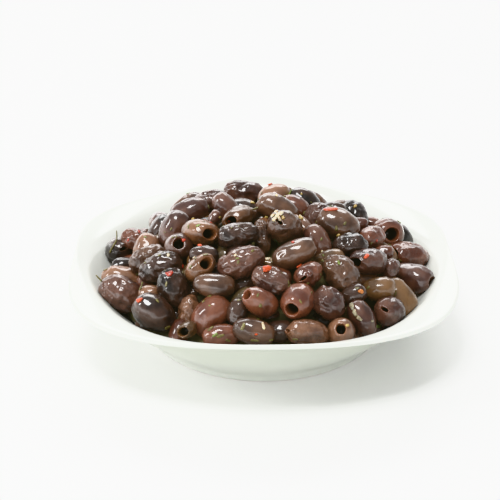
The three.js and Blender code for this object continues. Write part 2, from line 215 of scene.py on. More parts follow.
def wallReach(height):
    if height <= wallLine[0][1]:
        return wallLine[0][0]
    for (lowReach, low), (highReach, high) in zip(wallLine, wallLine[1:]):
        if height <= high:
            return lowReach + (highReach - lowReach) * (height - low) / (high - low)
    return dish["wellReach"]


seatRise, seatTurn = math.radians(seat["rise"]), math.radians(seat["turn"])
towardSeat = Vector((
    math.sin(seatTurn) * math.cos(seatRise),
    -math.cos(seatTurn) * math.cos(seatRise),
    math.sin(seatRise),
))
acrossSeat = Vector((math.cos(seatTurn), math.sin(seatTurn), 0))
upSeat = towardSeat.cross(acrossSeat)
dishMiddle = Vector((0, 0, dish["rimHeight"]))
guestEye = dishMiddle + towardSeat * seat["distance"]
sightReach = 160  # how far a sight line is followed


def sightLine(across, up):
    onPlane = dishMiddle + acrossSeat * across + upSeat * up
    return onPlane, (onPlane - guestEye).normalized()


def spotOnHeap(across, up):
    onPlane, away = sightLine(across, up)
    best, bestGap = None, math.inf
    t = -heap["seenReach"]
    while t < heap["seenReach"]:
        spot = onPlane + away * t
        gap = spot.z - heapHeight(spot.x, spot.y)
        if gap < bestGap:
            best, bestGap = spot, gap
        if gap < 0:
            break
        t += heap["backStep"]
    return best, away


def oliveInView(across, up, seenLength, seenWidth, turn, face, form, skin, broad=1):
    spot, away = spotOnHeap(across, up)
    scale = (spot - guestEye).length / seat["distance"]
    toward = -away
    right = (acrossSeat - toward * acrossSeat.dot(toward)).normalized()
    above = toward.cross(right)
    turnAngle, faceAngle = math.radians(turn), math.radians(face)
    along = right * math.cos(turnAngle) + above * math.sin(turnAngle)
    return SimpleNamespace(
        middle=spot,
        axis=along * math.cos(faceAngle) + toward * math.sin(faceAngle),
        side=along * math.sin(faceAngle) - toward * math.cos(faceAngle),
        broad=broad,
        away=away,
        form=form,
        skin=skin,
        length=seenLength * scale,
        width=seenWidth * scale,
    )


def rimStretch(angle):
    def along(turn):
        return 1 + sum(share * math.cos(waves * turn) for waves, share in dish["bow"])
    return along(angle) / along(0)


def flangeShare(reach):
    return clamp((reach - dish["wellReach"]) / (dish["rimReach"] - dish["wellReach"]))


def wallLift(reach, angle):
    wall = clamp((reach - dish["wallFoot"]) / (dish["wellReach"] - dish["wallFoot"])) ** 2
    rim = dish["rimWave"] * math.cos(4 * angle) + dish["rimRipple"] * math.cos(8 * angle)
    return wall * dish["wellWave"] * math.cos(4 * angle) + flangeShare(reach) * rim


def squareOff(x, y, z):
    reach, angle = math.hypot(x, y), math.atan2(y, x)
    out = reach + flangeShare(reach) * dish["rimReach"] * (rimStretch(angle) - 1)
    grow = out / reach if reach > 0 else 1
    return x * grow, y * grow, z + wallLift(reach, angle)


def glazeUnder(reach, angle):
    # height and slope of the dish's inside at a place
    for (near, low), (far, high) in zip(dish["well"], dish["well"][1:]):
        if reach <= far:
            break
    slope = (high - low) / (far - near)
    return low + slope * (min(reach, far) - near) + wallLift(reach, angle), slope


def offTheGlaze(spot):
    # skin that would sink into the porcelain lies against it instead
    for _ in range(2):
        reach = math.hypot(spot.x, spot.y)
        if reach < dish["floorReach"]:
            return
        glaze, slope = glazeUnder(reach, math.atan2(spot.y, spot.x))
        sunk = glaze + dish["skinGap"] - spot.z
        if sunk <= 0:
            return
        sunk /= 1 + slope * slope
        inward = 1 - sunk * slope / reach
        spot.x, spot.y, spot.z = spot.x * inward, spot.y * inward, spot.z + sunk


def rodEnds(olive):
    half = max(0.1, (olive.length - olive.width) / 2 * heap["rodShare"])
    return olive.middle - olive.axis * half, olive.middle + olive.axis * half


def keepInWell(olive):
    for _ in range(3):
        worst, worstPoint = 0, None
        for point in (*rodEnds(olive), olive.middle):
            over = math.hypot(point.x, point.y) + olive.width / 2 * heap["wallPress"] - wallReach(point.z)
            if over > worst:
                worst, worstPoint = over, point.copy()
        if worstPoint is None:
            return
        reach = math.hypot(worstPoint.x, worstPoint.y)
        olive.middle.x -= worstPoint.x / reach * worst
        olive.middle.y -= worstPoint.y / reach * worst


def rodDistance(first, second):
    (a, b), (c, d) = first, second
    one, two, gap = b - a, d - c, a - c
    oneOne, twoTwo, oneTwo = one.dot(one), two.dot(two), one.dot(two)
    spread = oneOne * twoTwo - oneTwo * oneTwo
    s = clamp((oneTwo * two.dot(gap) - one.dot(gap) * twoTwo) / spread) if spread > 1e-9 else 0.5
    t = clamp((oneTwo * s + two.dot(gap)) / twoTwo)
    s = clamp((oneTwo * t - one.dot(gap)) / oneOne)
    return ((a + one * s) - (c + two * t)).length


def isClear(olive, others, press):
    ends = rodEnds(olive)
    for other in others:
        room = (olive.width + other.width) / 2 - press
        if (olive.middle - other.middle).length > room + (olive.length + other.length) / 2:
            continue
        if rodDistance(ends, rodEnds(other)) < room:
            return False
    return True


def layInView():
    laid = []
    for row in olivesInView:
        olive = oliveInView(*row)
        keepInWell(olive)
        for _ in range(heap["backSteps"]):
            if isClear(olive, laid, heap["press"]):
                break
            olive.middle += olive.away * heap["backStep"]
            keepInWell(olive)
        laid.append(olive)
    return laid


drawState = heap["seed"]


def drawBetween(low, high):
    global drawState
    largest = 2147483647
    drawState = drawState * 16807 % largest
    return low + (high - low) * drawState / largest


def skinDistance(olive, away):
    squash = olive.width / olive.length - 1
    fromMiddle = guestEye - olive.middle
    fromMiddle = fromMiddle + olive.axis * (fromMiddle.dot(olive.axis) * squash)
    way = away + olive.axis * (away.dot(olive.axis) * squash)
    a, b = way.dot(way), fromMiddle.dot(way)
    inside = b * b - a * (fromMiddle.dot(fromMiddle) - (olive.width / 2) ** 2)
    return (-b - math.sqrt(inside)) / a if inside > 0 else math.inf


def isHidden(point, olives):
    away = point - guestEye
    distance = away.length
    away = away / distance
    if any(skinDistance(olive, away) < distance for olive in olives):
        return True
    for t in range(4, sightReach, 4):
        spot = point - away * t
        if spot.z < heapHeight(spot.x, spot.y, heap["coreSink"]):
            return True
    return False


def seenPoints(olive, olives):
    away = (olive.middle - guestEye).normalized()
    side = olive.axis.cross(away).normalized() * (olive.width * heap["seenEdge"])
    end = olive.axis * (olive.length * heap["seenEdge"])
    spread = [(0, 0), (1, 0), (-1, 0), (0, 1), (0, -1), (0.7, 0.7), (-0.7, 0.7), (0.7, -0.7), (-0.7, -0.7)]
    spots = [olive.middle + end * along + side * across for along, across in spread]
    return sum(not isHidden(spot, olives) for spot in spots)


def droppedOlive(sinkRange, reachLimit, smaller):
    reach = math.sqrt(drawBetween(0, reachLimit ** 2))
    angle = drawBetween(0, 2 * math.pi)
    length = drawBetween(*heap["fillLength"]) - smaller
    width = length * drawBetween(*heap["fillSlim"])
    turn = drawBetween(0, 2 * math.pi)
    lean = drawBetween(-heap["fillLean"], heap["fillLean"])
    sink = drawBetween(*sinkRange)
    x = heap["shift"] + reach * math.cos(angle)
    y = reach * math.sin(angle)
    slopeX = heapHeight(x + 0.5, y) - heapHeight(x - 0.5, y)
    slopeY = heapHeight(x, y + 0.5) - heapHeight(x, y - 0.5)
    climb = slopeX * math.cos(turn) + slopeY * math.sin(turn) + lean
    axis = Vector((math.cos(turn), math.sin(turn), climb)).normalized()
    olive = SimpleNamespace(
        middle=Vector((x, y, heapHeight(x, y, sink))),
        axis=axis,
        side=Vector((0, 0, 1)).cross(axis).normalized(),
        broad=1,
        length=length,
        width=width,
    )
    keepInWell(olive)
    return olive


def layUnseen(laid):
    everyOlive = list(laid)
    for attempt in range(heap["tries"]):
        smaller = heap["fillSmaller"] if attempt > heap["tries"] / 2 else 0
        olive = droppedOlive(heap["fillSink"], heap["fillReach"], smaller)
        if isClear(olive, everyOlive, heap["press"]) and seenPoints(olive, laid) <= heap["seenPoints"]:
            everyOlive.append(olive)
    return everyOlive[len(laid):]


underLayer = {"tries": 3000, "sink": (9, 13), "reach": 98, "press": 2.8}


def layUnder(laid):
    everyOlive = list(laid)
    for _ in range(underLayer["tries"]):
        olive = droppedOlive(underLayer["sink"], underLayer["reach"], 0)
        if isClear(olive, everyOlive, underLayer["press"]):
            everyOlive.append(olive)
    return everyOlive[len(laid):]


def formOf(*values):
    return dict(zip(("hole", "sides", "rings", "lumps", "dents", "ripple", "creases"), values))


# Hole (share of the half width), sides, rings, lumps, dents, ripple and creases of each kind
oliveForms = {
    "plump": formOf(0, 56, 34, 0.6, 0.35, 0.11, 0.0),
    "wrinkled": formOf(0, 64, 40, 0.8, 1.1, 0.36, 0.24),
    "pitted": formOf(0.4, 56, 32, 0.55, 0.4, 0.12, 0.04),
    "slit": formOf(0.22, 56, 32, 0.7, 0.8, 0.26, 0.16),
    "torn": formOf(0.42, 56, 32, 0.7, 0.8, 0.28, 0.14),
    "curl": formOf(0.66, 56, 32, 0.7, 0.5, 0.14, 0.05),
    "far": formOf(0, 44, 26, 0.6, 0.5, 0.16, 0.06),
    "farPitted": formOf(0.4, 40, 24, 0.55, 0.5, 0.16, 0.06),
    "under": formOf(0, 24, 13, 0.5, 0.3, 0.0, 0.0),
}

# how wide and how flat a cut hole is pulled
holePulls = {"slit": (1.35, 0.5), "torn": (1.15, 0.8), "curl": (1.1, 0.85)}
skinWaves = {"lumps": 0.1, "dents": 0.19, "ripple": 0.34, "fineRipple": 0.62}  # waves in a millimetre

# Skins, dark side and light side of each
oliveSkins = {
    "black": ("120c0b", "281c18"),
    "plum": ("412b26", "593e36"),
    "brown": ("473429", "5c4537"),
    "russet": ("593326", "6d4334"),
    "chestnut": ("694c3d", "7e5f4b"),
    "amber": ("5b3f29", "735139"),
    "tan": ("5c452c", "705739"),
    "shaded": ("463f2c", "5a513a"),
}


def colour(hexText, alpha=1.0):
    channels = [int(hexText[i : i + 2], 16) / 255 for i in (0, 2, 4)]
    linear = [c / 12.92 if c <= 0.04045 else ((c + 0.055) / 1.055) ** 2.4 for c in channels]
    return (*linear, alpha)


def oliveProfile(hole, rings):
    # (reach, height, flesh, deep) with half length and half width 1, from the far tip to the pit hole; deep
    # is painted shade inside the hole
    full = 0.76  # under 1 is plumper than an ellipse
    top = math.acos((hole + 0.16) ** (1 / full)) if hole else math.radians(84)
    points = [(0, -1.0, 0, 0)]
    for i in range(1, rings):
        t = -math.pi / 2 + (top + math.pi / 2) * i / (rings - 1)
        points.append((math.cos(t) ** full, math.sin(t), 0, 0))
    height = math.sin(top)
    if not hole:
        stalkEnd = [(0.1, -0.004, 0.3), (0.055, -0.02, 0.8), (0, -0.028, 0.9)]
        return points + [(reach, height + drop, flesh, 0) for reach, drop, flesh in stalkEnd]
    # the last share on each lip point is painted shade, darkest at the bottom of the hole
    lip = [
        (0.12, 0.012, 0.1, 0), (0.08, 0.02, 0.3, 0), (0.045, 0.018, 0.6, 0), (0.018, 0.0, 0.85, 0),
        (0.0, -0.035, 1, 0.0), (-0.012, -0.09, 1, 0.03), (-0.02, -0.17, 1, 0.12), (-0.03, -0.3, 1, 0.35),
        (-0.05, -0.5, 1, 0.7), (-0.08, -0.8, 1, 1), (-0.14, -1.0, 1, 1),
    ]
    points += [(hole + reach, height + rise, flesh, deep) for reach, rise, flesh, deep in lip]
    return points + [(0, height - 1.08, 1, 1)]


def spunMesh(name, points, sides, marks=("flesh", "deep")):
    shape = bmesh.new()
    flesh, deep = (shape.verts.layers.float.new(mark) for mark in marks)
    line = []
    for reach, height, fleshShare, deepShare in points:
        vert = shape.verts.new((reach, 0, height))
        vert[flesh] = fleshShare
        vert[deep] = deepShare
        line.append(vert)
    edges = [shape.edges.new(pair) for pair in zip(line, line[1:])]
    bmesh.ops.spin(
        shape, geom=line + edges, steps=sides, angle=2 * math.pi, cent=(0, 0, 0), axis=(0, 0, 1),
        dvec=(0, 0, 0), use_merge=True, use_normal_flip=False, use_duplicate=False,
    )
    bmesh.ops.remove_doubles(shape, verts=shape.verts, dist=1e-4)
    bmesh.ops.recalc_face_normals(shape, faces=shape.faces)
    mesh = bpy.data.meshes.new(name)
    shape.to_mesh(mesh)
    shape.free()
    return mesh


def newLayers(shape, **kinds):
    return {mark: getattr(shape.verts.layers, kind).new(mark) for mark, kind in kinds.items()}


def smoothPiece(name, shape, material, subdivisions=0):
    for face in shape.faces:
        face.smooth = True
    mesh = bpy.data.meshes.new(name)
    shape.to_mesh(mesh)
    shape.free()
    piece = bpy.data.objects.new(name, mesh)
    bpy.context.collection.objects.link(piece)
    mesh.materials.append(material)
    if subdivisions:
        finer = piece.modifiers.new("finer", "SUBSURF")
        finer.levels = finer.render_levels = subdivisions
    return piece


def pulledHole(x, y, z, flesh, form, pull, tear, offset):
    # a pit hole isn't round: it is pulled wider one way, ragged and sometimes torn
    near = flesh if z > -0.2 else 1.0 if flesh > 0.9 else 0.0
    if form["hole"] and (flesh > 0 or z > 0.75):
        share = min(1, max(near, (z - 0.75) / 0.25 if z > 0.75 else 0))
        ragged = 1 + 0.14 * share * noise.noise(Vector((x * 3, y * 3, 0.2)) + offset)
        if form["name"] == "torn" and near:
            fromTear = (math.atan2(y, x) - tear + math.pi) % (2 * math.pi) - math.pi
            ragged += 0.5 * math.exp(-fromTear ** 2 / 0.3)
        x *= 1 + (pull[0] - 1) * share
        y *= 1 + (pull[1] - 1) * share
        x, y = x * ragged, y * ragged
    return x, y, 1 - near


def skinSwell(spot, fold, form, offset):
    swell = noise.noise(spot * skinWaves["lumps"] + offset) * form["lumps"]
    swell -= max(0, noise.noise(spot * skinWaves["dents"] - offset) - 0.05) * form["dents"] * 2.2
    ripple = noise.noise(spot * skinWaves["ripple"] + offset) * 1.5
    swell += (ripple + noise.noise(spot * skinWaves["fineRipple"]) * 0.8) * form["ripple"]
    return swell - max(0, 1 - abs(fold) * 5) ** 2 * form["creases"] * 1.5


def growOlive(verts, olive, form, skin, draw, layers):
    full = heap["swell"] * (0.8 if form["name"] == "curl" else 1)
    halfWidth, halfLength = olive.width / 2 * full, olive.length / 2 * full
    offset = Vector([draw.uniform(-400, 400) for _ in range(3)])
    oval, bend, roll = draw.uniform(0.94, 1.02), draw.uniform(-0.08, 0.08), draw.uniform(0, 2 * math.pi)
    taper = draw.uniform(-0.11, 0.11)
    slant = Vector((draw.uniform(-0.06, 0.06), draw.uniform(-0.06, 0.06)))
    turned = Matrix((olive.side, olive.axis.cross(olive.side), olive.axis)).transposed()
    if not form["hole"]:
        turned = turned @ Matrix.Rotation(roll, 3, "Z")
    dark, light = (Vector(colour(tint)[:3]) for tint in oliveSkins[skin])
    tint = dark.lerp(light, draw.uniform(0.25, 0.95)) * draw.uniform(0.9, 1.12)
    roundPull = (1, draw.uniform(0.85, 1))
    pull = holePulls.get(form["name"], roundPull)
    tear = draw.uniform(0, 2 * math.pi)
    for vert in verts:
        x, y, z = vert.co
        x, y, skinShare = pulledHole(x, y, z, vert[layers["flesh"]], form, pull, tear, offset)
        spot = Vector((x * halfWidth, y * halfWidth, z * halfLength))
        outward = Vector((x, y, z * halfWidth / halfLength))
        outward = outward.normalized() if outward.length > 1e-6 else Vector((0, 0, 1))
        fold = noise.noise(Vector((x * 1.9, y * 1.9, z * 1.1)) + offset + outward * 0.4)
        fade = skinShare * min(1, math.hypot(x, y) * 1.6)
        spot += outward * skinSwell(spot, fold, form, offset) * fade
        spot.x *= olive.broad * (1 + taper * z)
        spot.y *= oval * (1 + taper * z)
        spot.x += bend * halfWidth * (z * z - 0.4)
        spot.z += (slant.x * x + slant.y * y) * halfWidth * z
        vert[layers["fruit"]] = spot + offset
        vert[layers["tint"]] = (*tint, 1)
        vert[layers["wrinkle"]] = form["creases"]
        place = turned @ spot + olive.middle
        offTheGlaze(place)
        vert.co = place * mm


def olivePiece(name, olives, material, seedNumber):
    draw = random.Random(seedNumber)
    shape = bmesh.new()
    layers = newLayers(
        shape, flesh="float", deep="float", wrinkle="float", fruit="float_vector", tint="float_color",
    )
    for olive in olives:
        form = oliveForms[olive.form]
        start = len(shape.verts)
        shape.from_mesh(form["mesh"])
        shape.verts.ensure_lookup_table()
        growOlive(shape.verts[start:], olive, form, olive.skin, draw, layers)
    piece = smoothPiece(name, shape, material)
    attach(piece, "root")
    print(name, len(olives), "olives", len(piece.data.polygons), "faces")
    return piece


# Material helpers
def newMaterial(name):
    material = bpy.data.materials.new(name)
    material.use_nodes = True
    tree = material.node_tree
    return material, tree, tree.nodes["Principled BSDF"]


def setSockets(tree, node, values):
    for key, value in values.items():
        if isinstance(value, bpy.types.NodeSocket):
            tree.links.new(value, node.inputs[key])
        else:
            node.inputs[key].default_value = value


def addNode(tree, kind, settings=None, **inputs):
    node = tree.nodes.new(kind)
    for key, value in (settings or {}).items():
        setattr(node, key, value)
    # n0, n1 and so on are sockets without a name of their own
    setSockets(tree, node, {int(key[1:]) if key[1:].isdigit() else key: inputs[key] for key in inputs})
    return node


def attributeOf(tree, name, output="Fac"):
    return addNode(tree, "ShaderNodeAttribute", {"attribute_name": name}).outputs[output]


def addBump(tree, shader, strength, depth, height):
    bump = addNode(tree, "ShaderNodeBump", Strength=strength, Distance=depth * mm, Height=height)
    tree.links.new(bump.outputs[0], shader.inputs["Normal"])


def mixColour(tree, share, first, second, blend="MIX"):
    settings = {"data_type": "RGBA", "blend_type": blend}
    return addNode(tree, "ShaderNodeMix", settings, n0=share, n6=first, n7=second).outputs[2]


def remap(tree, value, low, high, toLow=0.0, toHigh=1.0):
    soft = {"interpolation_type": "SMOOTHSTEP"}
    ends = {"n1": low, "n2": high, "n3": toLow, "n4": toHigh}
    return addNode(tree, "ShaderNodeMapRange", soft, n0=value, **ends).outputs[0]


def maths(tree, operation, first, second=0.0):
    return addNode(tree, "ShaderNodeMath", {"operation": operation}, n0=first, n1=second).outputs[0]


def noiseOf(tree, vector, scale, detail=3.0, roughness=0.55, distortion=0.0):
    return addNode(
        tree, "ShaderNodeTexNoise",
        Vector=vector, Scale=scale, Detail=detail, Roughness=roughness, Distortion=distortion,
    ).outputs[0]


def stretched(tree, vector, scale):
    return addNode(tree, "ShaderNodeMapping", Vector=vector, Scale=scale).outputs[0]


def newGroup(name, inputs, outputs):
    group = bpy.data.node_groups.new(name, "ShaderNodeTree")
    for way, sockets in (("INPUT", inputs), ("OUTPUT", outputs)):
        for label, kind in sockets.items():
            group.interface.new_socket(label, in_out=way, socket_type="NodeSocket" + kind)
    return group, group.nodes.new("NodeGroupInput").outputs, group.nodes.new("NodeGroupOutput").inputs


def oliveMarksGroup():
    group, given, result = newGroup(
        "oliveMarks",
        {"Tint": "Color", "Fruit": "Vector", "Flesh": "Float", "Deep": "Float", "Wrinkle": "Float"},
        {"Colour": "Color", "Roughness": "Float", "Oil": "Float", "Height": "Float"},
    )
    tint, fruit, flesh = given["Tint"], given["Fruit"], given["Flesh"]
    deep, wrinkle = given["Deep"], given["Wrinkle"]
    # a dark side and a warm side, streaks along the olive and fine pale freckles
    patches = noiseOf(group, fruit, 0.07, 1.5)
    streaks = noiseOf(group, stretched(group, fruit, (1.1, 1.1, 0.3)), 0.5, 4.0)
    mottle = noiseOf(group, fruit, 1.1, 4.0, 0.65)
    darkSide = mixColour(group, 1.0, tint, (0.55, 0.50, 0.52, 1), "MULTIPLY")
    warmSide = mixColour(group, 1.0, tint, (1.18, 1.10, 0.98, 1), "MULTIPLY")
    warmSide = mixColour(group, 0.3, warmSide, (0.098, 0.046, 0.031, 1))
    skin = mixColour(group, remap(group, patches, 0.34, 0.56), darkSide, warmSide)
    skin = mixColour(group, remap(group, streaks, 0.45, 0.8, 0.0, 0.35), skin, darkSide)
    skin = mixColour(group, remap(group, mottle, 0.55, 0.8, 0.0, 0.10), skin, (0.16, 0.09, 0.05, 1))
    pores = addNode(group, "ShaderNodeTexVoronoi", Vector=fruit, Scale=0.75).outputs["Distance"]
    skin = mixColour(group, remap(group, pores, 0.04, 0.12, 0.22, 0.0), skin, (0.2, 0.12, 0.07, 1))
    # cut flesh round the hole, and painted shade deep inside it
    cut = mixColour(group, 0.35, tint, (0.19, 0.085, 0.04, 1))
    cut = mixColour(group, 1.0, cut, (1.15, 1.0, 0.9, 1), "MULTIPLY")
    skin = mixColour(group, remap(group, flesh, 0.1, 0.95, 0.0, 0.75), skin, cut)
    skin = mixColour(group, remap(group, deep, 0.05, 0.75), skin, (0.010, 0.006, 0.004, 1))
    # painted shade darkens the creases, which are also sunk into the bump
    folds = noiseOf(group, stretched(group, fruit, (0.55, 0.55, 0.45)), 0.6, 3.0, 0.6, 1.2)
    crease = maths(group, "ABSOLUTE", maths(group, "SUBTRACT", folds, 0.5))
    grooveShade = remap(group, crease, 0.0, 0.04, 1.0, 0.0)
    grooveShadeShare = maths(group, "MULTIPLY", grooveShade, wrinkle)
    skin = mixColour(group, maths(group, "MULTIPLY", grooveShadeShare, 0.6), skin, (0.012, 0.008, 0.007, 1))
    group.links.new(skin, result["Colour"])
    film = noiseOf(group, fruit, 0.3, 3.0)
    group.links.new(remap(group, film, 0.4, 0.7, 0.42, 0.55), result["Roughness"])
    group.links.new(remap(group, film, 0.4, 0.7, 1.0, 0.6), result["Oil"])
    soft = noiseOf(group, fruit, 0.3, 1.5)
    dimples = noiseOf(group, fruit, 0.62, 1.0)
    height = maths(group, "ADD", soft, maths(group, "MULTIPLY", dimples, 0.5))
    height = maths(group, "SUBTRACT", height, maths(group, "MULTIPLY", grooveShadeShare, 0.8))
    group.links.new(height, result["Height"])
    return group


oliveMarks = oliveMarksGroup()


def oliveMaterial(name, roughDepth, coat):
    material, tree, shader = newMaterial(name)
    kinds = {"Tint": "Color", "Fruit": "Vector", "Flesh": "Fac", "Deep": "Fac", "Wrinkle": "Fac"}
    found = {label: attributeOf(tree, label.lower(), kind) for label, kind in kinds.items()}
    marks = addNode(tree, "ShaderNodeGroup", {"node_tree": oliveMarks}, **found).outputs
    addBump(tree, shader, 1.0, roughDepth, marks["Height"])
    setSockets(tree, shader, {
        "Base Color": marks["Colour"],
        "Roughness": marks["Roughness"],
        "Specular IOR Level": 0.2,
        "Coat Weight": marks["Oil"],
        "Coat Roughness": coat,
        "Coat IOR": 1.5,
    })
    return material


# Dish
def glazeMaterial():
    material, tree, shader = newMaterial("whiteGlaze")
    spot = addNode(tree, "ShaderNodeTexCoord").outputs["Object"]
    outsideShade, bare = attributeOf(tree, "outsideShade"), attributeOf(tree, "bare")
    cloud, grain = noiseOf(tree, spot, 14, 3.0), noiseOf(tree, spot, 1400, 4.0)
    white = mixColour(tree, remap(tree, cloud, 0.3, 0.7), *dish["glaze"])
    # painted shade: the outside of the dish is darker, most of all just below the rim
    white = mixColour(tree, maths(tree, "MULTIPLY", outsideShade, dish["belowShadeShare"]), white, dish["glazeBelowShaded"])
    white = mixColour(tree, bare, white, mixColour(tree, grain, *dish["bareFoot"]))
    dull = maths(tree, "MAXIMUM", bare, maths(tree, "MINIMUM", outsideShade, 0.5))
    ripple = noiseOf(tree, spot, 14, 0.5)
    rough = maths(tree, "MULTIPLY", maths(tree, "MULTIPLY", grain, bare), 0.4)
    addBump(tree, shader, 0.25, 0.4, maths(tree, "ADD", ripple, rough))
    setSockets(tree, shader, {
        "Base Color": white,
        "Roughness": remap(tree, dull, 0.0, 1.0, 0.2, 0.6),
        "IOR": 1.5,
        "Coat Weight": remap(tree, dull, 0.0, 1.0, 0.35, 0.0),
        "Coat Roughness": 0.1,
    })
    return material


def makeDish():
    points = [(reach, height, 0, 0) for reach, height in dish["well"] + dish["lip"]]
    # painted shade on the outside, darkest just below the rim, and the foot is bare
    for reach, height in dish["under"]:
        points.append((reach, height, clamp(0.5 + height / 70), float(height < 1)))
    mesh = spunMesh("dishSection", points, dish["sides"], ("outsideShade", "bare"))
    shape = bmesh.new()
    shape.from_mesh(mesh)
    for vert in shape.verts:
        vert.co = Vector(squareOff(*vert.co)) * mm
    bmesh.ops.recalc_face_normals(shape, faces=shape.faces)
    piece = smoothPiece("dish_glazed", shape, glazeMaterial(), 1)
    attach(piece, "root")
    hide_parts("dish")
    print("dish made")


# Core that the olives lie on, coloured dark: painted shade of the gaps between olives
core = {
    "sink": 15, "gap": 0.8, "sides": 96, "rings": 40,
    "lumps": 2.2, "lumpWaves": 0.09,  # waves in a millimetre
    "evenEdge": 3,  # no lumps this near the wall
    "gapShadeTones": ((0.045, 0.041, 0.022, 1), (0.095, 0.083, 0.042, 1)),
}


def coreMaterial():
    material, tree, shader = newMaterial("paintedGapShade")
    spot = addNode(tree, "ShaderNodeTexCoord").outputs["Object"]
    cloud = noiseOf(tree, spot, 90, 4.0)
    addBump(tree, shader, 0.6, 1.0, cloud)
    setSockets(tree, shader, {
        # painted shade: the core is near black, as the gaps look in shade
        "Base Color": mixColour(tree, remap(tree, cloud, 0.35, 0.65), *core["gapShadeTones"]),
        "Roughness": remap(tree, cloud, 0.3, 0.7, 0.3, 0.6),
        "IOR": 1.3,
    })
    return material


def makeCore():
    points = []
    for reach, height in dish["well"]:
        reach, height = max(0, reach - core["gap"]), height + core["gap"]
        if height < heapHeight(reach, 0, core["sink"]):
            points.append((reach, height, 0, 0))
    edge = points[-1][0]
    for i in range(core["rings"] + 1):
        reach = edge * (1 - i / core["rings"])
        points.append((reach, heapHeight(reach, 0, core["sink"]), 1, 0))
    mesh = spunMesh("coreSection", points, core["sides"])
    shape = bmesh.new()
    shape.from_mesh(mesh)
    flesh = shape.verts.layers.float["flesh"]
    for vert in shape.verts:
        if vert[flesh] > 0.5 and vert.co.xy.length < edge - core["evenEdge"]:
            vert.co.z += core["lumps"] * noise.noise(vert.co * core["lumpWaves"])
        vert.co = vert.co * mm
    piece = smoothPiece("heap_core", shape, coreMaterial())
    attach(piece, "root")
    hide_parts("olive_heap")
    print("core made")


def makeOlives():
    for name, form in oliveForms.items():
        form["name"] = name
        form["mesh"] = spunMesh(name + "Form", oliveProfile(form["hole"], form["rings"]), form["sides"])
    laid = layInView()
    behind = layUnseen(laid)
    print("olives laid", len(laid), "in view", len(behind), "behind")
    draw = random.Random(heap["kindSeed"])
    for olive in behind:
        olive.form = draw.choices(("far", "farPitted"), (7, 4))[0]
        olive.skin = draw.choices(list(oliveSkins), (4, 6, 5, 4, 4, 3, 2, 0))[0]
    under = layUnder(laid + behind)
    for olive in under:
        olive.form, olive.skin = "under", draw.choices(list(oliveSkins), (1, 1, 1, 1, 1, 1, 2, 5))[0]
    oily = oliveMaterial("oiledSkin", 0.3, 0.03)
    creased = oliveMaterial("creasedSkin", 0.6, 0.04)
    return [
        olivePiece("olives_smooth", [o for o in laid if o.form == "plump"], oily, 1),
        olivePiece("olives_creased", [o for o in laid if o.form == "wrinkled"], creased, 2),
        olivePiece("olives_pitted", [o for o in laid if o.form == "pitted"], oily, 3),
        olivePiece("olives_split", [o for o in laid if o.form in ("slit", "torn", "curl")], creased, 4),
        olivePiece("olives_behind", behind, oily, 5),
        olivePiece("olives_under", under, oily, 6),
    ]


